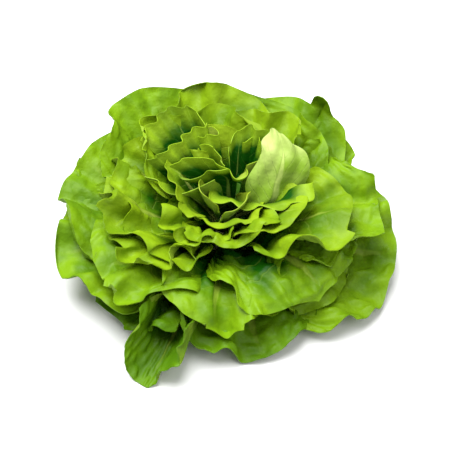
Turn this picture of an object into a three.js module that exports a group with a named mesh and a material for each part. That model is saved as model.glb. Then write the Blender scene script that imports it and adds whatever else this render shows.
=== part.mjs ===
// A butterhead lettuce, cut and set down on its stem: a short stem, and waved leaves that grow from it in a
// spiral, small and upright at the heart, wide and spread over the table at the outside.
// Millimetres, +Z up. The origin is on the table, under the stem. Azimuths turn from +X towards +Y.
import * as THREE from "three";

// Driving dimensions.
const STEM_RADIUS = 14;
const STEM_NECK_RADIUS = 4; // at the growing point, among the heart leaves
const STEM_HEIGHT = 48;
const BUTT_RADIUS = 20; // at the table, where the lowest leaves were cut away
const BUTT_HEIGHT = 8; // where the butt has narrowed to the stem
const BUTT_RIM = 2; // rounding of the cut face that the head stands on
const LOWEST_LEAF = 11; // height of the outermost leaf's base on the stem
const HIGHEST_LEAF = 46;
const HEART_HOLLOW = 7; // radius of the hollow over the stem, which no leaf closes
const JOINT_GAP = 0.35; // between a leaf's base and the stem
const BLADE = 0.65; // thickness of a blade
const RIB = 0.6; // how much thicker the midrib is at the leaf's base
const RIB_HALF_WIDTH = 5;
const TABLE_GAP = 0.15; // between the table and the lowest leaves
const SIDE_CUT = 0.42; // how much shorter a leaf is along its sides than along its midrib
const BILLOW = 1.6; // the blade's own bulges, as a share of its margin's waves
const DEG = Math.PI / 180;

// Columns across a leaf and rows along it, from base to margin, for each size of leaf.
// The base is the half-width where the leaf joins the stem, and the gap what its margin keeps to others.
// Split is how finely a grid cell's width is looked at when the leaves are bent clear of each other.
const GRIDS = {
  heart: { columns: 11, rows: [0, 0.3, 0.6, 0.85, 1], base: 2.5, gap: 1.5, split: 3 },
  inner: { columns: 15, rows: [0, 0.22, 0.46, 0.68, 0.87, 1], base: 4, gap: 1.6, split: 3 },
  mid: { columns: 17, rows: [0, 0.18, 0.38, 0.58, 0.76, 0.9, 1], base: 5, gap: 2, split: 2 },
  wide: { columns: 19, rows: [0, 0.16, 0.36, 0.56, 0.75, 0.89, 1], base: 6, gap: 2.2, split: 2 },
};
const GAP_AT_BASE = 1.5;

// The leaves, from the heart outwards. A leaf runs from the stem along its azimuth to a tip at radius r and
// height z, leaving the stem at the slope rise and ending at the slope end, in degrees. Its sides open to
// half-angle fan and bend to the radius cup. Its margin has waves of height wave and turns out by curl.
const LEAVES = [
  { grid: "heart", az: 190, r: 20, z: 88, rise: 72, end: 92, fan: 38, cup: 21, wave: 1, waves: 2.5, curl: 0 },
  { grid: "heart", az: 318, r: 20, z: 84, rise: 72, end: 90, fan: 38, cup: 21, wave: 1, waves: 2.5, curl: 0 },
  { grid: "inner", az: 18, r: 38, z: 100, rise: 50, end: 118, fan: 52, cup: 40, wave: 2, waves: 2.3, curl: -4 },
  { grid: "inner", az: 160, r: 40, z: 96, rise: 50, end: 74, fan: 52, cup: 42, wave: 4, waves: 4.0, curl: 4 },
  { grid: "inner", az: 285, r: 36, z: 78, rise: 48, end: 46, fan: 48, cup: 44, wave: 3, waves: 2.9, curl: 8 },
  { grid: "inner", az: 95, r: 48, z: 99, rise: 46, end: 76, fan: 60, cup: 46, wave: 5, waves: 3.4, curl: 4 },
  { grid: "inner", az: 340, r: 64, z: 83, rise: 42, end: 40, fan: 52, cup: 58, wave: 3, waves: 2.9, curl: 9 },
  { grid: "mid", az: 118, r: 84, z: 104, rise: 36, end: 82, fan: 60, cup: 48, wave: 7, waves: 3.4, curl: 3 },
  { grid: "mid", az: 228, r: 68, z: 66, rise: 42, end: 26, fan: 52, cup: 60, wave: 8, waves: 4.0, curl: 7 },
  { grid: "mid", az: 68, r: 80, z: 103, rise: 36, end: 74, fan: 60, cup: 60, wave: 7, waves: 3.4, curl: 4 },
  { grid: "mid", az: 160, r: 90, z: 89, rise: 34, end: 50, fan: 55, cup: 66, wave: 9, waves: 4.6, curl: 7 },
  { grid: "mid", az: 280, r: 58, z: 66, rise: 46, end: 0, fan: 62, cup: 70, wave: 7, waves: 3.4, curl: 12 },
  { grid: "mid", az: 188, r: 88, z: 77, rise: 34, end: 42, fan: 55, cup: 66, wave: 10, waves: 4.6, curl: 7 },
  { grid: "mid", az: 348, r: 101, z: 57, rise: 36, end: 8, fan: 56, cup: 76, wave: 10, waves: 4.0, curl: 9 },
  { grid: "mid", az: 92, r: 99, z: 105, rise: 30, end: 70, fan: 54, cup: 80, wave: 7, waves: 4.6, curl: 4 },
  { grid: "mid", az: 208, r: 92, z: 60, rise: 34, end: 18, fan: 54, cup: 74, wave: 9, waves: 4.6, curl: 7 },
  { grid: "wide", az: 10, r: 122, z: 52, rise: 28, end: 24, fan: 53, cup: 96, wave: 8, waves: 4.6, curl: 4 },
  { grid: "wide", az: 70, r: 111, z: 101, rise: 26, end: 68, fan: 52, cup: 80, wave: 6, waves: 4.0, curl: 5 },
  { grid: "wide", az: 318, r: 108, z: 26, rise: 40, end: -40, fan: 62, cup: 120, wave: 7, waves: 4.6, curl: 5 },
  { grid: "wide", az: 37, r: 122, z: 70, rise: 24, end: 40, fan: 52, cup: 96, wave: 10, waves: 4.6, curl: 4 },
  { grid: "wide", az: 264, r: 98, z: 22, rise: 32, end: -28, fan: 58, cup: 110, wave: 8, waves: 4.0, curl: 6 },
  { grid: "wide", az: 118, r: 128, z: 93, rise: 20, end: 56, fan: 57, cup: 104, wave: 7, waves: 4.0, curl: 5 },
  { grid: "wide", az: 215, r: 114, z: 41, rise: 28, end: -10, fan: 55, cup: 90, wave: 8, waves: 4.0, curl: 9 },
  { grid: "wide", az: 22, r: 133, z: 58, rise: 18, end: 30, fan: 58, cup: 110, wave: 10, waves: 4.6, curl: 4 },
  { grid: "wide", az: 152, r: 136, z: 57, rise: 18, end: 34, fan: 58, cup: 104, wave: 8, waves: 4.0, curl: 4 },
  { grid: "wide", az: 325, r: 100, z: 6, rise: 22, end: -30, fan: 58, cup: 140, wave: 6, waves: 4.6, curl: 3 },
  { grid: "wide", az: 58, r: 128, z: 88, rise: 18, end: 52, fan: 56, cup: 104, wave: 8, waves: 4.6, curl: 4 },
  { grid: "wide", az: 190, r: 136, z: 30, rise: 16, end: 10, fan: 60, cup: 84, wave: 8, waves: 4.0, curl: 4 },
  { grid: "wide", az: 286, r: 116, z: 2, rise: 16, end: -10, fan: 60, cup: 180, wave: 6, waves: 4.0, curl: 0 },
  { grid: "wide", az: 355, r: 137, z: 26, rise: 14, end: 14, fan: 60, cup: 120, wave: 8, waves: 4.6, curl: 4 },
  { grid: "wide", az: 48, r: 132, z: 82, rise: 14, end: 52, fan: 54, cup: 110, wave: 8, waves: 4.6, curl: 3 },
  { grid: "wide", az: 221, r: 128, z: 5, rise: 12, end: -10, fan: 42, cup: 120, wave: 7, waves: 4.6, curl: 0 },
  { grid: "wide", az: 136, r: 142, z: 58, rise: 12, end: 38, fan: 54, cup: 120, wave: 8, waves: 4.6, curl: 3 },
  { grid: "wide", az: 246, r: 140, z: 3, rise: 14, end: -10, fan: 27, cup: 32, wave: 3, waves: 3.4, curl: -2 },
  { grid: "wide", az: 162, r: 138, z: 22, rise: 8, end: 14, fan: 56, cup: 150, wave: 8, waves: 4.6, curl: 2 },
];

// A repeatable random number from 0 to 1 for each whole number.
function randomOf(seed) {
  const x = Math.sin(seed * 127.1 + 311.7) * 43758.5453;
  return x - Math.floor(x);
}

function stemRadiusAt(height) {
  const taper = THREE.MathUtils.smoothstep(height, LOWEST_LEAF, STEM_HEIGHT);
  return THREE.MathUtils.lerp(STEM_RADIUS, STEM_NECK_RADIUS, taper);
}

function buildStem() {
  const steps = 7;
  const outline = [
    new THREE.Vector2(0, 0),
    new THREE.Vector2(BUTT_RADIUS - BUTT_RIM, 0),
    new THREE.Vector2(BUTT_RADIUS, BUTT_RIM),
  ];
  for (let i = 0; i <= steps; i++) {
    const height = THREE.MathUtils.lerp(BUTT_HEIGHT, STEM_HEIGHT, i / steps);
    outline.push(new THREE.Vector2(stemRadiusAt(height), height));
  }
  outline.push(new THREE.Vector2(STEM_NECK_RADIUS / 2, STEM_HEIGHT + STEM_NECK_RADIUS / 3));
  outline.push(new THREE.Vector2(0, STEM_HEIGHT + STEM_NECK_RADIUS / 2));
  const stem = new THREE.LatheGeometry(outline, 24);
  return stem.rotateX(Math.PI / 2);
}

// The leaf's own facts: where it leaves the stem, its profile in the plane of its midrib, and its grid.
function prepareLeaf(row, rank) {
  const share = rank / (LEAVES.length - 1);
  const height = THREE.MathUtils.lerp(HIGHEST_LEAF, LOWEST_LEAF, share ** 0.8);
  const start = new THREE.Vector2(stemRadiusAt(height) + JOINT_GAP + (BLADE + RIB) / 2, height);
  const tip = new THREE.Vector2(row.r, row.z);
  const handle = 0.42 * start.distanceTo(tip);
  const direction = (slope) => new THREE.Vector2(Math.cos(slope * DEG), Math.sin(slope * DEG));
  const profile = new THREE.CubicBezierCurve(
    start,
    start.clone().addScaledVector(direction(row.rise), handle),
    tip.clone().addScaledVector(direction(row.end), -handle),
    tip,
  );
  const leaf = { ...GRIDS[row.grid], ...row, rank, profile, length: profile.getLength() };
  leaf.phases = [0, 100, 200].map((n) => 2 * Math.PI * randomOf(row.az + n));
  leaf.points = [];
  for (const v of leaf.rows)
    for (let i = 0; i < leaf.columns; i++) leaf.points.push(bladePoint(leaf, acrossAt(leaf, i), v));
  return leaf;
}

function acrossAt(leaf, column) {
  return (2 * column) / (leaf.columns - 1) - 1;
}

// The middle of the blade at u, from -1 to 1 across it, and v, from 0 at the stem to 1 at the margin. The
// blade is a fan cut flat, laid along the profile, bent round across it, and waved towards its margin.
function bladePoint(leaf, u, v) {
  const angle = u * leaf.fan * DEG;
  const reach = v * leaf.length * (1 - SIDE_CUT * Math.abs(u) ** 2.2);
  const across = leaf.base * u * (1 - v) + reach * Math.sin(angle);
  const along = (reach * Math.cos(angle)) / leaf.length;
  const at = leaf.profile.getPointAt(along);
  const slope = leaf.profile.getTangentAt(along);
  const turn = Math.PI * leaf.waves * u;
  const [p, q, s] = leaf.phases;
  const swell = (0.75 + 0.35 * Math.sin(0.7 * turn + q)) * Math.sin(turn + p) + 0.35 * Math.sin(0.4 * turn + s);
  const billow = Math.sin(5 * v + 2.2 * u + q) * Math.sin(1.3 * turn + s) * v * (1 - v);
  const off = v ** 2.6 * leaf.wave * swell - leaf.curl * v ** 5 + BILLOW * leaf.wave * billow;
  const bend = across / leaf.cup;
  const side = leaf.cup * Math.sin(bend) - off * Math.sin(bend);
  const lift = leaf.cup * (1 - Math.cos(bend)) + off * Math.cos(bend);
  const point = new THREE.Vector3(at.x - slope.y * lift, side, at.y + slope.x * lift);
  return point.applyAxisAngle(new THREE.Vector3(0, 0, 1), leaf.az * DEG);
}

// Unit normals of a leaf's grid, towards the heart.
function gridNormals(leaf) {
  const { columns, rows, points } = leaf;
  const at = (i, j) => points[j * columns + i];
  return points.map((_, k) => {
    const i = k % columns;
    const j = Math.floor(k / columns);
    const du = at(Math.min(i + 1, columns - 1), j).clone().sub(at(Math.max(i - 1, 0), j));
    const dv = at(i, Math.min(j + 1, rows.length - 1)).clone().sub(at(i, Math.max(j - 1, 0)));
    return dv.cross(du).normalize();
  });
}

// Bending the leaves clear of each other. Points spread over each leaf's faces are compared with those of
// the leaves near them: an outer leaf is kept a gap outside an inner one, and leaves that face each other
// across the heart are kept apart. What a point is moved by is shared out to its grid, and smoothed.
const CLEAR_PASSES = 90;
const FREE_PASSES = 35; // with much smoothing
const LAST_PASSES = 40; // with none, to settle the last crossings
const SMOOTHING = 0.4;
const LAST_SLACK = 0.93; // share of the gap that the last passes still ask for
const NEAR = 7; // how far to the side a neighbour still counts
const DEEPEST = 11; // the deepest crossing that is undone

function facePoints(leaf) {
  const found = [];
  for (let j = 0; j < leaf.rows.length - 1; j++)
    for (let i = 0; i < leaf.columns - 1; i++)
      for (let b = 0; b <= leaf.split; b++)
        for (let a = 0; a < leaf.split; a++) {
          const fu = (a + 0.5) / leaf.split;
          const fv = (b + 0.5) / (leaf.split + 1);
          const k = j * leaf.columns + i;
          const corners = [k, k + 1, k + leaf.columns, k + leaf.columns + 1];
          const shares = fu > fv ? [1 - fu, fu - fv, 0, fv] : [1 - fv, 0, fv - fu, fu];
          const v = THREE.MathUtils.lerp(leaf.rows[j], leaf.rows[j + 1], fv);
          const gap = THREE.MathUtils.lerp(GAP_AT_BASE, leaf.gap, v);
          found.push({ leaf, corners, shares, gap, at: new THREE.Vector3(), normal: new THREE.Vector3() });
        }
  return found;
}

function placeFacePoints(leaf) {
  const normals = gridNormals(leaf);
  for (const spot of leaf.spots) {
    spot.at.set(0, 0, 0);
    spot.normal.set(0, 0, 0);
    spot.corners.forEach((k, c) => {
      spot.at.addScaledVector(leaf.points[k], spot.shares[c]);
      spot.normal.addScaledVector(normals[k], spot.shares[c]);
    });
    spot.normal.normalize();
  }
}

function cellKey(x, y, z) {
  return (Math.floor(x) + 512) * 1048576 + (Math.floor(y) + 512) * 1024 + Math.floor(z) + 512;
}

function sortIntoCells(spots) {
  const cells = new Map();
  for (const spot of spots) {
    const key = cellKey(spot.at.x / DEEPEST, spot.at.y / DEEPEST, spot.at.z / DEEPEST);
    if (!cells.has(key)) cells.set(key, []);
    cells.get(key).push(spot);
  }
  return cells;
}

// The nearest point of each other leaf that this point is too close to, or on the wrong side of.
function crossings(spot, cells, slack) {
  const found = new Map();
  const { x, y, z } = spot.at;
  for (let n = 0; n < 27; n++) {
    const [i, j, k] = [(n % 3) - 1, (Math.floor(n / 3) % 3) - 1, Math.floor(n / 9) - 1];
    const near = cells.get(cellKey(x / DEEPEST + i, y / DEEPEST + j, z / DEEPEST + k));
    if (!near) continue;
    for (const other of near) {
      if (other.leaf === spot.leaf) continue;
      const [dx, dy, dz] = [x - other.at.x, y - other.at.y, z - other.at.z];
      const height = dx * other.normal.x + dy * other.normal.y + dz * other.normal.z;
      const aside = dx * dx + dy * dy + dz * dz - height * height;
      if (Math.abs(height) > DEEPEST || aside > NEAR * NEAR) continue;
      const ordered = spot.normal.dot(other.normal) > 0.3;
      const outward = spot.leaf.rank > other.leaf.rank ? -1 : 1;
      const side = ordered ? outward : Math.sign(height);
      const short = slack * Math.min(spot.gap, other.gap) - side * height;
      if (short <= 0) continue;
      const kept = found.get(other.leaf);
      if (!kept || aside < kept.aside) found.set(other.leaf, { aside, short, side, other });
    }
  }
  return found.values();
}

function bendClear(leaves) {
  for (const leaf of leaves) {
    leaf.spots = facePoints(leaf);
    leaf.drawn = leaf.points.map((p) => p.clone());
    leaf.push = leaf.points.map(() => new THREE.Vector3());
    leaf.weight = new Float64Array(leaf.points.length);
  }
  const spots = leaves.flatMap((leaf) => leaf.spots);
  for (let pass = 0; pass < CLEAR_PASSES; pass++) {
    for (const leaf of leaves) {
      leaf.push.forEach((p) => p.set(0, 0, 0));
      leaf.weight.fill(0);
      placeFacePoints(leaf);
    }
    const last = pass >= CLEAR_PASSES - LAST_PASSES;
    const slack = last ? LAST_SLACK : 1;
    const cells = sortIntoCells(spots);
    for (const spot of spots)
      for (const { short, side, other } of crossings(spot, cells, slack)) {
        spread(spot, other.normal, 0.5 * side * short);
        spread(other, other.normal, -0.5 * side * short);
      }
    const rounds = pass < FREE_PASSES ? 5 : 2;
    leaves.forEach((leaf) => moveLeaf(leaf, last ? 0 : rounds));
  }
}

function spread(spot, direction, amount) {
  spot.corners.forEach((k, c) => {
    spot.leaf.push[k].addScaledVector(direction, amount * spot.shares[c]);
    spot.leaf.weight[k] += spot.shares[c];
  });
}

// Each pass smooths what the leaf was moved by, so that it bends as a whole and keeps its waves.
function moveLeaf(leaf, rounds) {
  const { columns, rows, points, drawn, push, weight } = leaf;
  const lowest = TABLE_GAP + BLADE / 2;
  let moved = points.map((p, k) => {
    const by = p.clone().sub(drawn[k]);
    if (weight[k] > 0) by.addScaledVector(push[k], 0.7 / Math.max(weight[k], 0.35));
    return by;
  });
  for (let n = 0; n < rounds; n++) moved = smoothed(moved, columns, rows.length);
  points.forEach((p, k) => {
    if (k < columns) moved[k].set(0, 0, 0);
    p.copy(drawn[k]).add(moved[k]);
    p.z = Math.max(p.z, lowest);
    const core = p.z < STEM_HEIGHT ? stemRadiusAt(p.z) : HEART_HOLLOW;
    const clear = core + JOINT_GAP + (BLADE + RIB) / 2;
    const home = clear / Math.hypot(drawn[k].x, drawn[k].y);
    if (Math.hypot(p.x, p.y) < clear) p.set(drawn[k].x * home, drawn[k].y * home, p.z);
  });
}

function smoothed(field, columns, rows) {
  return field.map((value, k) => {
    const i = k % columns;
    const j = Math.floor(k / columns);
    const round = new THREE.Vector3();
    let count = 0;
    for (const [x, y] of [[i - 1, j], [i + 1, j], [i, j - 1], [i, j + 1]]) {
      if (x < 0 || y < 0 || x >= columns || y >= rows) continue;
      round.add(field[y * columns + x]);
      count++;
    }
    return value.clone().lerp(round.divideScalar(count), SMOOTHING);
  });
}

// A leaf as one closed solid: its grid, thickened to both sides, with the midrib swelling towards the stem.
function leafSolid(leaf) {
  const { columns, rows, points } = leaf;
  const normals = gridNormals(leaf);
  const vertices = [];
  for (const face of [1, -1])
    points.forEach((p, k) => {
      const v = rows[Math.floor(k / columns)];
      const aside = (acrossAt(leaf, k % columns) * Math.max(v * leaf.length, leaf.base)) / RIB_HALF_WIDTH;
      const half = (BLADE + RIB * (1 - v) ** 1.5 * Math.exp(-aside * aside)) / 2;
      vertices.push(...p.clone().addScaledVector(normals[k], face * half).toArray());
    });
  const under = points.length;
  const triangles = [];
  for (let j = 0; j < rows.length - 1; j++)
    for (let i = 0; i < columns - 1; i++) {
      const a = j * columns + i;
      const b = a + 1;
      const c = a + columns;
      const d = c + 1;
      triangles.push(a, d, b, a, c, d);
      triangles.push(under + a, under + b, under + d, under + a, under + d, under + c);
    }
  const last = (rows.length - 1) * columns;
  const rim = [];
  for (let i = columns - 1; i > 0; i--) rim.push(i);
  for (let j = 0; j < rows.length - 1; j++) rim.push(j * columns);
  for (let i = 0; i < columns - 1; i++) rim.push(last + i);
  for (let j = rows.length - 1; j > 0; j--) rim.push(j * columns + columns - 1);
  rim.forEach((a, k) => {
    const b = rim[(k + 1) % rim.length];
    triangles.push(b, a, under + a, b, under + a, under + b);
  });
  const geometry = new THREE.BufferGeometry();
  geometry.setAttribute("position", new THREE.Float32BufferAttribute(vertices, 3));
  geometry.setIndex(triangles);
  geometry.computeVertexNormals();
  return geometry;
}

const LEAF_COLOURS = { heart: 0xb9cf58, inner: 0xa3c63a, mid: 0x8fb92a, wide: 0x7fae22 };
const lettuce = new THREE.Group();
const stemMaterial = new THREE.MeshStandardMaterial({ color: 0xdfe6b4, roughness: 0.55, metalness: 0 });
const stem = new THREE.Mesh(buildStem(), stemMaterial);
stem.name = "stem";
lettuce.add(stem);

const leaves = LEAVES.map(prepareLeaf);
bendClear(leaves);
for (const leaf of leaves) {
  const color = LEAF_COLOURS[leaf.grid];
  const material = new THREE.MeshStandardMaterial({ color, roughness: 0.45, metalness: 0 });
  const mesh = new THREE.Mesh(leafSolid(leaf), material);
  mesh.name = `leaf_${String(leaf.rank + 1).padStart(2, "0")}`;
  lettuce.add(mesh);
}

export default lettuce;
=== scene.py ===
# The looks of the butterhead lettuce. Each CAD leaf is taken as it is bent, drawn again on a fine grid with
# waves, turned-out rims, blisters and a midrib, and shaded as a thin leaf that light shines through. Small
# crumpled leaves fill the heart.
import math

import bpy
import numpy as np
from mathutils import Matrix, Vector


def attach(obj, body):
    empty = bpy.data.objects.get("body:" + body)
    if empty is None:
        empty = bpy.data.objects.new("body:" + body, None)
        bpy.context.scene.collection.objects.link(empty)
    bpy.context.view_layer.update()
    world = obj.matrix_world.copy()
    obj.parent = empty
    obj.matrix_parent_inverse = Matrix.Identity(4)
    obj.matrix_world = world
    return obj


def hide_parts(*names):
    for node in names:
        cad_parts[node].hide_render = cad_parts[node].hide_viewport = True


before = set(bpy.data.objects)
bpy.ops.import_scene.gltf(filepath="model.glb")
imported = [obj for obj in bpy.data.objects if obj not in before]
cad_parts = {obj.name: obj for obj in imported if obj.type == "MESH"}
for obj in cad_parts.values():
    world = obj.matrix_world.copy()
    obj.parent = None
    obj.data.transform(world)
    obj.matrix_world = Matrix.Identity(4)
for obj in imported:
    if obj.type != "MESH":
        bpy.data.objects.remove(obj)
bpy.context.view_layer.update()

MM = 0.001
BLADE = 0.62 * MM  # thickness of a leaf

# The CAD leaves' grids: columns across a leaf, and how far along it each row lies, from stem to margin.
ROWS = {
    11: [0, 0.3, 0.6, 0.85, 1],
    15: [0, 0.22, 0.46, 0.68, 0.87, 1],
    17: [0, 0.18, 0.38, 0.58, 0.76, 0.9, 1],
    19: [0, 0.16, 0.36, 0.56, 0.75, 0.89, 1],
}
COLUMNS = {2 * columns * len(rows): columns for columns, rows in ROWS.items()}
# For each size of leaf: fine steps across and along it, and in mm the height of the waves of its margin, how
# far an upright rim turns out, and the height of its blisters.
FINE = {
    11: (50, 24, 1.2, 2, 0.1),
    15: (84, 36, 2.6, 6, 0.18),
    17: (116, 48, 3.6, 9, 0.3),
    19: (124, 52, 3.8, 8, 0.36),
}
FOLD_STEPS = (64, 28)  # fine steps across and along a heart fold and the hood
WAVE_LENGTH = 50  # of the margin's waves, in mm
WAVE_DRIFT = 93  # over which the waves grow closer and wider again, in mm
CRUMPLE_LENGTH = 13  # of the crumples of a heart fold, in mm

# Leaves that differ from the rest, by number.
# In mm, how much higher the margin is raised, and how much it is pulled in.
RAISED = {
    5: (6, 3),
    7: (4, 4),
    9: (12, 5),
    12: (15, 7),
    13: (9, 2),
    14: (11, 2),
    16: (9, 3),
    17: (0, -12),
    20: (0, 6),
    21: (6, 0),
    23: (8, 0),
    27: (0, 5),
    30: (0, -15),
    31: (0, 9),
}
# How many times stronger the waves are.
WAVED = {
    4: 1.6,
    5: 0.4,
    7: 0.4,
    8: 1.5,
    9: 1.5,
    10: 1.5,
    11: 1.6,
    12: 0.45,
    13: 1.9,
    14: 0.7,
    16: 1.7,
    23: 1.5,
}
# How far the sides come together, as a share, and how high in mm they stand.
TROUGHS = {34: (0.48, 32), 32: (0.15, 8), 22: (0.08, 8)}
# How deep the margin is torn into points, as a share of the leaf's length.
TORN = {17: 0.11, 19: 0.07, 20: 0.1, 24: 0.11, 31: 0.08, 32: 0.06}
# How many times stronger the blisters are.
BLISTERED = {19: 2.4, 29: 1.6, 30: 1.5}
# Leaves low at the front, whose upper side is painted a darker green as shade: the trough and the leaves
# beside it.
SHADE_PAINTED_LEAVES = (29, 32, 34)
HOOD_LEAF = 3


def merged(node):
    """The node's points without doubles, and its triangles as indices of them."""
    mesh = node.data
    mesh.calc_loop_triangles()
    known, points, index = {}, [], []
    for vertex in mesh.vertices:
        place = node.matrix_world @ vertex.co
        key = tuple(round(x * 1e6) for x in place)
        if key not in known:
            known[key] = len(points)
            points.append(place)
        index.append(known[key])
    triangles = [[index[v] for v in t.vertices] for t in mesh.loop_triangles]
    return np.array(points), triangles


def leaf_grid(node):
    """The middle surface of a CAD leaf as an array of rows, columns and x, y, z, found by walking its faces
    from the corner of its base: a leaf is two grids of cells cut along the same diagonal, and a rim."""
    points, triangles = merged(node)
    columns = COLUMNS[len(points)]
    rows, last = len(ROWS[columns]), columns - 1
    beyond, around = {}, {}
    for triangle in triangles:
        for k in range(3):
            a, b, c = triangle[k], triangle[k - 2], triangle[k - 1]
            beyond.setdefault(frozenset((a, b)), []).append(c)
            around.setdefault(a, set()).update((b, c))

    def across(a, b, known):
        first, second = beyond[frozenset((a, b))]
        return second if first == known else first

    def far(a, b):
        return np.linalg.norm(points[a] - points[b])

    corners = [v for v, near in around.items() if len(near) == 4]
    corners.sort(key=lambda v: np.hypot(*points[v][:2]))
    pair = corners[:2]
    beside, above = sorted(beyond[frozenset(pair)], key=lambda v: far(pair[0], v))
    extra = {v: (around[v] - set(pair) - {beside, above}).pop() for v in pair}
    upper, under = sorted(pair, key=lambda v: -far(v, extra[v]))
    starts = [(upper, beside, extra[upper]), (under, extra[under], above)]
    sheets = []
    for corner, low, up in starts:
        grid = np.zeros((rows, columns), int)
        grid[0, last], grid[0, last - 1], grid[1, last] = corner, low, up
        for j in range(rows - 1):
            for i in range(last - 1, -1, -1):
                b, d = grid[j, i + 1], grid[j + 1, i + 1]
                if j == 0 and i < last - 1:
                    grid[0, i] = across(b, d, grid[1, i + 2])
                grid[j + 1, i] = across(grid[j, i], d, b)
            if j + 2 < rows:
                grid[j + 2, last] = across(grid[j + 1, last - 1], grid[j + 1, last], grid[j, last - 1])
        sheets.append(points[grid])
    return (sheets[0] + sheets[1]) / 2


def spline(count, at):
    """Weights of a smooth curve through count evenly spaced values, at the places given."""
    weights = np.zeros((len(at), count))
    for row, place in enumerate(at):
        cell = min(int(place), count - 2)
        t = place - cell
        parts = (
            -0.5 * t + t**2 - 0.5 * t**3,
            1 - 2.5 * t**2 + 1.5 * t**3,
            0.5 * t + 2 * t**2 - 1.5 * t**3,
            -0.5 * t**2 + 0.5 * t**3,
        )
        for step, part in enumerate(parts):
            k = cell + step - 1
            if k < 0:
                weights[row, 0] += 2 * part
                weights[row, 1] -= part
            elif k >= count:
                weights[row, -1] += 2 * part
                weights[row, -2] -= part
            else:
                weights[row, k] += part
    return weights


def smooth(low, high, x):
    """0 up to low, 1 from high, and a soft step between them."""
    t = np.clip((x - low) / (high - low), 0, 1)
    return t * t * (3 - 2 * t)


def normals(surface):
    """The unit normals of a grid of points."""
    across = np.gradient(surface, axis=1)
    along = np.gradient(surface, axis=0)
    n = np.cross(along, across)
    return n / np.maximum(np.linalg.norm(n, axis=2, keepdims=True), 1e-12)


def facing_in(coarse):
    """The grid with its columns in the order that makes its normals point to the leaf's upper, inner side."""
    centre = coarse.reshape(-1, 3).mean(axis=0)
    inwards = np.array([-centre[0], -centre[1], 0]) / max(np.hypot(centre[0], centre[1]), 1e-9)
    side = (normals(coarse) @ (inwards * 0.7 + np.array([0, 0, 1]))).mean()
    return coarse if side > 0 else coarse[:, ::-1]


def fine_leaf(coarse, number):
    """The leaf on a fine grid, with its waved margin, its rim turned out where the leaf stands upright, its
    blisters and the groove of its midrib."""
    rng = np.random.default_rng(number)
    columns = coarse.shape[1]
    steps_across, steps_along, height, turned, blister = FINE[columns]
    p, q, r, s = rng.uniform(0, 2 * math.pi, 4)
    u = np.linspace(-1, 1, steps_across + 1)
    v = np.linspace(0, 1, steps_along + 1)
    strips = np.einsum("ijx,cj->cix", coarse, spline(columns, np.linspace(0, columns - 1, steps_across + 1)))
    # The margin's broad lobes, and the points that it is torn into.
    lobe = rng.uniform(0.06, 0.15) * (0.5 + 0.5 * np.sin(5 * u + p + 0.9 * np.sin(3 * u + q)))
    lobe = lobe + TORN.get(number, 0) * np.abs(np.sin(6 * u + s)) ** 0.7
    surface = np.empty((steps_along + 1, steps_across + 1, 3))
    for k, strip in enumerate(strips):
        reach = v * (1 + (0.03 - lobe[k]) * v**3)
        places = np.interp(reach, ROWS[columns], range(len(ROWS[columns])))
        surface[:, k] = spline(len(strip), places) @ strip

    # The bearing of leaves that stand higher or reach less far than the rest.
    raised, pulled = RAISED.get(number, (0, 0))
    rise = smooth(0.25, 1, v)[:, None]
    flat = surface[:, :, :2]
    outwards = flat / np.maximum(np.linalg.norm(flat, axis=2, keepdims=True), 1e-9)
    surface[:, :, 2] += raised * MM * rise
    surface[:, :, :2] -= pulled * MM * rise[:, :, None] * outwards
    if number in TROUGHS:
        # The sides come nearer to each other and stand up.
        shut, depth = TROUGHS[number]
        middle = surface[:, steps_across // 2][:, None]
        surface = middle + (surface - middle) * (1 - shut * rise[:, :, None])
        surface[:, :, 2] += depth * MM * (np.abs(u) ** 1.6)[None, :] * rise

    # The waves of the margin, and the rim turned out where the leaf stands upright.
    margin = np.linalg.norm(np.diff(surface[-1], axis=0), axis=1)
    along_margin = np.concatenate([[0], np.cumsum(margin)]) / MM
    length = np.linalg.norm(np.diff(surface[:, steps_across // 2], axis=0), axis=1).sum() / MM
    drift = np.sin(2 * math.pi * along_margin / WAVE_DRIFT + p)
    turn = 2 * math.pi * along_margin / WAVE_LENGTH + 1.4 * drift
    waves = np.sin(turn + q)[None, :] + 0.22 * np.sin(2.3 * turn + r)[None, :] * smooth(0.85, 1, v)[:, None]
    off = height * WAVED.get(number, 1) * waves * smooth(0.4, 1, v)[:, None] ** 1.5
    upright = 1 - np.clip(normals(surface)[:, :, 2], 0, 1)
    uneven = 0.6 + 0.4 * np.sin(0.8 * turn + s)
    off -= turned * uneven[None, :] * upright * smooth(0.72, 1, v)[:, None] ** 1.4

    # Blisters of 8 to 17 mm, and the groove of the midrib.
    x = u[None, :] * np.maximum(v[:, None] * length * 0.9, 5)
    y = np.repeat(v[:, None] * length, len(u), axis=1)
    quilt = np.zeros_like(x)
    for _ in range(7):
        way, wave, start = rng.uniform(0, math.pi), rng.uniform(8, 17), rng.uniform(0, 2 * math.pi)
        quilt += np.sin(2 * math.pi * (x * math.cos(way) + y * math.sin(way)) / wave + start)
    size = blister * BLISTERED.get(number, 1)
    off = off + size * np.maximum(quilt, -0.8) * smooth(0.12, 0.4, v)[:, None]
    off = off - 0.7 * np.exp(-((x / 2.4) ** 2)) * (1 - v[:, None]) ** 0.6
    surface = surface + off[:, :, None] * MM * normals(surface)
    surface[:, :, 2] = np.maximum(surface[:, :, 2], BLADE)
    return surface


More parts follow.
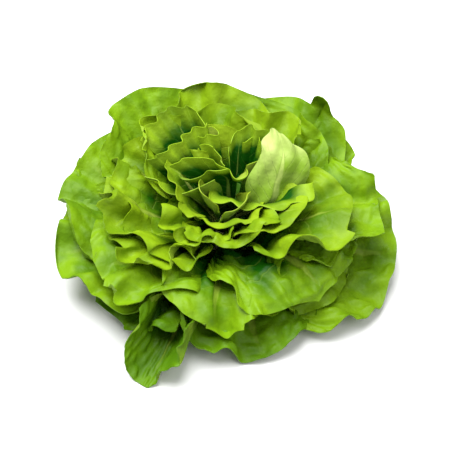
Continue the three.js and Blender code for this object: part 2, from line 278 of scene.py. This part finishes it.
# The crumpled leaves that fill the heart, each by the width in mm of its turned-out lip, and the points in mm
# that its rim passes through.
FOLDS = [
    (4, [(-60, 14, 96), (-48, 18, 99), (-38, 27, 102), (-24, 43, 103), (-14, 49, 103)]),
    (3, [(-33, 43, 93), (-20, 42, 96), (-9, 40, 98), (-6, 43, 101), (-14, 47, 103)]),
    (3, [(-31, 40, 92), (-27, 33, 89), (-20, 34, 90), (-13, 36, 93), (-5, 27, 90), (0, 18, 86)]),
    (6, [(3, 31, 88), (5, 40, 96), (13, 45, 101), (23, 47, 102), (33, 43, 100)]),
    (3, [(14, 39, 93), (25, 41, 96), (31, 31, 93), (27, 24, 88), (18, 22, 84)]),
    (7, [(-41, 14, 90), (-30, 18, 94), (-20, 18, 95), (-9, 17, 93), (-1, 13, 86)]),
    (10, [(-36, 8, 86), (-26, 5, 84), (-14, 8, 90), (-1, 6, 92), (9, 3, 86), (20, 12, 88)]),
    (9, [(-61, 6, 86), (-50, -1, 84), (-38, -8, 80), (-25, -6, 83), (-11, 0, 86)]),
    (12, [(-19, 1, 76), (-9, -8, 75), (9, -15, 74), (30, -18, 75), (50, -17, 76), (66, -9, 79), (72, 2, 84)]),
    (5, [(-65, 36, 96), (-60, 47, 101), (-50, 61, 104), (-36, 67, 106), (-24, 62, 106), (-17, 49, 103)]),
]
# The pale leaf that arches over the heart from the right, by rows of points in mm from its foot to its tip.
HOOD_ROWS = [
    [(4, -1, 49), (6, -1, 49), (8, 0, 49), (9, 2, 49)],
    [(15, 5, 62), (28, 3, 62), (42, 4, 63), (53, 8, 65)],
    [(18, 12, 76), (32, 9, 76), (48, 10, 76), (62, 14, 78)],
    [(26, 25, 92), (37, 18, 92), (52, 17, 91), (66, 20, 90)],
    [(30, 33, 99), (39, 28, 100), (49, 26, 98), (58, 27, 95)],
    [(34, 41, 103), (37, 40, 105), (42, 36, 104), (48, 33, 101)],
]
HEART = np.array([5, 14, 50])  # where the heart's leaves start, in mm


def heart_fold(number, lip, rim):
    """A crumpled leaf of the heart on a fine grid, steep, with its lip turned out."""
    p, q = np.random.default_rng(100 + number).uniform(0, 2 * math.pi, 2)
    rim = np.array(rim, float)
    v = np.linspace(0, 1, FOLD_STEPS[1] + 1)[:, None, None]
    edge = spline(len(rim), np.linspace(0, len(rim) - 1, FOLD_STEPS[0] + 1)) @ rim
    steps = np.linalg.norm(np.diff(edge, axis=0), axis=1)
    along = np.concatenate([[0], np.cumsum(steps)])[:, None]
    out = (edge - HEART) * [1, 1, 0]
    out = out / np.maximum(np.linalg.norm(out, axis=1, keepdims=True), 1)
    up = np.array([0, 0, 1])
    edge = edge - lip * out + 0.4 * lip * up
    foot = HEART + (edge - HEART) * [0.22, 0.22, 0]
    share = np.concatenate([v**0.65, v**0.65, v**1.25], axis=2)
    points = foot + (edge - foot) * share
    crumple = 1.6 if lip < 8 else 0.5  # a wide lip is smoother
    crumples = np.sin(2 * math.pi * along / CRUMPLE_LENGTH + 4 * v + p)
    points = points + out * crumple * crumples * (0.3 + v) * v
    points = points + out * lip * (0.9 + 0.3 * np.sin(along / 4 + q)) * smooth(0.6, 1, v) ** 1.3
    points = points - 0.4 * lip * up * smooth(0.75, 1, v)
    return points * MM


def hood():
    """The pale leaf over the heart on a fine grid, with soft dents and uneven sides."""
    rows = np.array(HOOD_ROWS, float)
    down = spline(len(rows), np.linspace(0, len(rows) - 1, FOLD_STEPS[1] + 1))
    across = spline(rows.shape[1], np.linspace(0, rows.shape[1] - 1, FOLD_STEPS[0] + 1))
    points = np.einsum("ri,cj,ijx->rcx", down, across, rows)
    u = np.linspace(0, 1, FOLD_STEPS[0] + 1)[None, :]
    v = np.linspace(0, 1, FOLD_STEPS[1] + 1)[:, None]
    dents = np.sin(9 * u + 5 * v) * np.sin(11 * v - 4 * u + 1) + 0.5 * np.sin(17 * u - 9 * v)
    ragged = (1.6 * np.sin(15 * v + 2) * (2 * u - 1) ** 5)[:, :, None] * np.array([1, 0, 0])
    return (points + ragged + 1.5 * dents[:, :, None] * normals(points)) * MM


def linear(hex_colour):
    """An sRGB hex colour as linear RGBA."""
    parts = [int(hex_colour[k : k + 2], 16) / 255 for k in (1, 3, 5)]
    return [c / 12.92 if c <= 0.04045 else ((c + 0.055) / 1.055) ** 2.4 for c in parts] + [1]


def add(tree, kind, sockets=None, **settings):
    """Adds a node with its settings; each socket is given a value, or another node's output to link."""
    node = tree.nodes.new(kind)
    for name, value in settings.items():
        setattr(node, name, value)
    for name, value in (sockets or {}).items():
        if isinstance(value, bpy.types.NodeSocket):
            tree.links.new(value, node.inputs[name])
        else:
            node.inputs[name].default_value = value
    return node


def leaf_material(name, deep, bright, pale, through, shine, lighter=0.3):
    """Leaf tissue. The eye sees a green in soft blotches that is dark towards the stem, painted shade for the
    gaps between the leaves where their bases show, and brighter to the margin, a pale midrib that widens to
    the stem, fine pale side veins, and light that shines through. The painted shade lifts and the green grows
    lighter from the share of the leaf's length that is given."""
    material = bpy.data.materials.new(name)
    material.use_nodes = True
    tree = material.node_tree
    tree.nodes.clear()
    leaf = add(tree, "ShaderNodeUVMap", uv_map="UVMap")
    uv = add(tree, "ShaderNodeSeparateXYZ", {0: leaf.outputs[0]})
    place = add(tree, "ShaderNodeTexCoord")

    def math_node(operation, a, b=0.0):
        return add(tree, "ShaderNodeMath", {0: a, 1: b}, operation=operation).outputs[0]

    def fade(value, low, high, start=0.0, end=1.0):
        node = add(tree, "ShaderNodeMapRange", {0: value, 1: low, 2: high, 3: start, 4: end})
        node.interpolation_type = "SMOOTHSTEP"
        return node.outputs[0]

    def mixed(share, a, b):
        return add(tree, "ShaderNodeMix", {0: share, 6: a, 7: b}, data_type="RGBA").outputs[2]

    # Blotches of about 30 mm, and blisters of about 7 mm between the fine veins.
    blotch = add(tree, "ShaderNodeTexNoise", {"Vector": place.outputs["Object"], "Scale": 32, "Detail": 3})
    blister = add(tree, "ShaderNodeTexNoise", {"Vector": place.outputs["Object"], "Scale": 150, "Detail": 2})
    aside = math_node("ABSOLUTE", math_node("SUBTRACT", uv.outputs[0], 0.5))
    # The side veins leave the midrib in pairs and slant to the margin.
    slant = math_node("SUBTRACT", math_node("MULTIPLY", uv.outputs[1], 7.0), math_node("MULTIPLY", aside, 6.0))
    wavy = math_node("ADD", slant, math_node("MULTIPLY", blotch.outputs[0], 1.6))
    nearest = math_node("PINGPONG", wavy, 0.5)
    side_vein = fade(nearest, 0.0, 0.07, 1.0, 0.0)
    side_vein = math_node("MULTIPLY", side_vein, fade(uv.outputs[1], 0.95, 0.5))
    width = fade(uv.outputs[1], 0.0, 1.0, 0.085, 0.006)
    midrib = fade(math_node("DIVIDE", aside, width), 0.4, 1.0, 1.0, 0.0)
    midrib = math_node("MULTIPLY", midrib, fade(uv.outputs[1], 0.98, 0.6))

    # Painted shade: the green is darkest towards the stem, where the leaves' bases show only in the gaps
    # between the leaves, and brightens to the margin.
    painted_shade_ramp = fade(uv.outputs[1], lighter, 1.0, -0.7, 0.45)
    share = math_node("ADD", fade(blotch.outputs[0], 0.3, 0.7, 0.15, 0.85), painted_shade_ramp)
    green = mixed(share, linear(deep), linear(bright))
    green = mixed(math_node("MULTIPLY", side_vein, 0.22), green, linear(pale))
    green = mixed(math_node("MULTIPLY", midrib, 0.65), green, linear(pale))
    green = mixed(fade(uv.outputs[1], 0.2, 0.02, 0.0, 0.8), green, linear(pale))

    veins = math_node("MAXIMUM", math_node("MULTIPLY", side_vein, 0.5), midrib)
    relief = math_node("SUBTRACT", blister.outputs[0], math_node("MULTIPLY", veins, 0.5))
    bump = add(tree, "ShaderNodeBump", {"Strength": 0.8, "Distance": 1.3 * MM, "Height": relief})
    tissue = add(
        tree,
        "ShaderNodeBsdfPrincipled",
        {"Base Color": green, "Roughness": shine, "Specular IOR Level": 0.16, "Normal": bump.outputs[0]},
    )
    glow = mixed(0.55, green, linear(through))
    light = add(tree, "ShaderNodeBsdfTranslucent", {"Color": glow, "Normal": bump.outputs[0]})
    both = add(tree, "ShaderNodeMixShader", {0: 0.2, 1: tissue.outputs[0], 2: light.outputs[0]})
    add(tree, "ShaderNodeOutputMaterial", {0: both.outputs[0]})
    return material


def stem_material():
    """Cut stem flesh. The eye sees a pale green white, a little browned in blotches at the cut."""
    material = bpy.data.materials.new("lettuce stem")
    material.use_nodes = True
    tree = material.node_tree
    tree.nodes.clear()
    place = add(tree, "ShaderNodeTexCoord")
    blotch = add(tree, "ShaderNodeTexNoise", {"Vector": place.outputs["Object"], "Scale": 160, "Detail": 5})
    colour = add(
        tree,
        "ShaderNodeMix",
        {0: blotch.outputs[0], 6: linear("#e3e8c0"), 7: linear("#c3c98a")},
        data_type="RGBA",
    )
    flesh = add(tree, "ShaderNodeBsdfPrincipled", {"Base Color": colour.outputs[2], "Roughness": 0.5})
    add(tree, "ShaderNodeOutputMaterial", {0: flesh.outputs[0]})
    return material


# The first green of each leaf material is both the painted shade towards the stem and the dark of its
# blotches.
UPPER = {
    11: leaf_material("heart leaf, upper side", "#125402", "#98b028", "#c2cf70", "#74a408", 0.5, 0.5),
    15: leaf_material("inner leaf, upper side", "#125402", "#8cab1a", "#b6c860", "#70a206", 0.48),
    17: leaf_material("middle leaf, upper side", "#125202", "#82a412", "#a4ba48", "#689e04", 0.45),
    19: leaf_material("outer leaf, upper side", "#145202", "#78a00e", "#98b03c", "#629a04", 0.44),
}
# Painted shade: the heart folds take a darker green that brightens only from 0.62 of their length, to darken
# the pit of the heart.
FOLD = leaf_material("heart fold, upper side", "#0e4a02", "#8cae1e", "#7d9c3c", "#5e9804", 0.48, 0.62)
# Painted shade: a darker green for the upper side of the leaves low at the front.
SHADED = leaf_material("shaded outer leaf, upper side", "#0e4402", "#5f8a08", "#88a034", "#508a04", 0.45)
UNDER = {
    11: leaf_material("heart leaf, underside", "#4f7f16", "#a8ba4a", "#ccd696", "#74a408", 0.6),
    15: leaf_material("inner leaf, underside", "#427610", "#99b038", "#c0cd88", "#70a206", 0.6),
    17: leaf_material("middle leaf, underside", "#366c0c", "#88a62a", "#b4c672", "#689e04", 0.6),
    19: leaf_material("outer leaf, underside", "#2f660a", "#7a9a22", "#aabe68", "#629a04", 0.6),
}
HOOD = leaf_material("pale hood leaf", "#7fa22c", "#c2d27c", "#b4c66c", "#b4cc58", 0.55)


def make_blade(name, surface, under, upper):
    """A leaf of even thickness on the grid given."""
    rows, columns = surface.shape[:2]
    bpy.ops.object.select_all(action="DESELECT")
    bpy.ops.mesh.primitive_grid_add(x_subdivisions=columns - 1, y_subdivisions=rows - 1, size=1)
    piece = bpy.context.object
    piece.name = name
    piece.data.vertices.foreach_set("co", surface.reshape(-1).astype(np.float32))
    piece.location = (0, 0, 0)
    piece.data.materials.append(under)
    piece.data.materials.append(upper)
    solid = piece.modifiers.new("thickness", "SOLIDIFY")
    solid.thickness = BLADE
    solid.offset = 0
    solid.material_offset = 1
    solid.material_offset_rim = 1
    bpy.ops.object.modifier_apply(modifier="thickness")
    bpy.ops.object.shade_smooth_by_angle(angle=math.radians(60))
    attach(piece, "root")
    return piece


for name, node in sorted(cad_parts.items()):
    if not name.startswith("leaf_"):
        continue
    number = int(name[-2:])
    coarse = facing_in(leaf_grid(node))
    columns = coarse.shape[1]
    if number == HOOD_LEAF:
        piece = make_blade(name + "_hood", hood(), HOOD, HOOD)
    else:
        # The leaves low at the front take the painted shade on their upper side.
        upper = SHADED if number in SHADE_PAINTED_LEAVES else UPPER[columns]
        piece = make_blade(name + "_blade", fine_leaf(coarse, number), UNDER[columns], upper)
    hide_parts(name)

for number, (lip, rim) in enumerate(FOLDS):
    surface = facing_in(heart_fold(number, lip, rim))
    piece = make_blade("heart_fold_%02d" % (number + 1), surface, UNDER[15], FOLD)

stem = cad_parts["stem"]
stem.data.materials.clear()
stem.data.materials.append(stem_material())

# A white table, soft light from above, and the photograph's view from the front.
bpy.ops.mesh.primitive_plane_add(size=6)
table = bpy.context.object
table.name = "table"
white = bpy.data.materials.new("white table")
white.use_nodes = True
white.node_tree.nodes["Principled BSDF"].inputs["Base Color"].default_value = (0.8, 0.8, 0.8, 1)
white.node_tree.nodes["Principled BSDF"].inputs["Roughness"].default_value = 0.6
table.data.materials.append(white)

world = bpy.data.worlds.new("studio")
world.use_nodes = True
world.node_tree.nodes["Background"].inputs[0].default_value = (1, 1, 1, 1)
world.node_tree.nodes["Background"].inputs[1].default_value = 0.38
bpy.context.scene.world = world


def soft_light(name, place, power, size):
    light = bpy.data.lights.new(name, "AREA")
    light.energy = power
    light.size = size
    lamp = bpy.data.objects.new(name, light)
    bpy.context.collection.objects.link(lamp)
    lamp.location = place
    lamp.rotation_euler = (Vector((0, 0, 0.05)) - lamp.location).to_track_quat("-Z", "Y").to_euler()


soft_light("key", (-0.25, 0.12, 1.1), 31, 1.0)
soft_light("fill", (0.6, -0.6, 0.9), 5, 0.8)

camera = bpy.data.objects.new("camera", bpy.data.cameras.new("camera"))
bpy.context.collection.objects.link(camera)
camera.data.lens = 85
camera.data.sensor_width = 36
elevation = math.radians(45)
towards = Vector((0, -math.cos(elevation), math.sin(elevation)))
camera.location = Vector((0, 0, 0.04)) + towards * 0.836
camera.rotation_euler = (-towards).to_track_quat("-Z", "Y").to_euler()
bpy.context.scene.camera = camera
bpy.context.scene.view_settings.view_transform = "Standard"
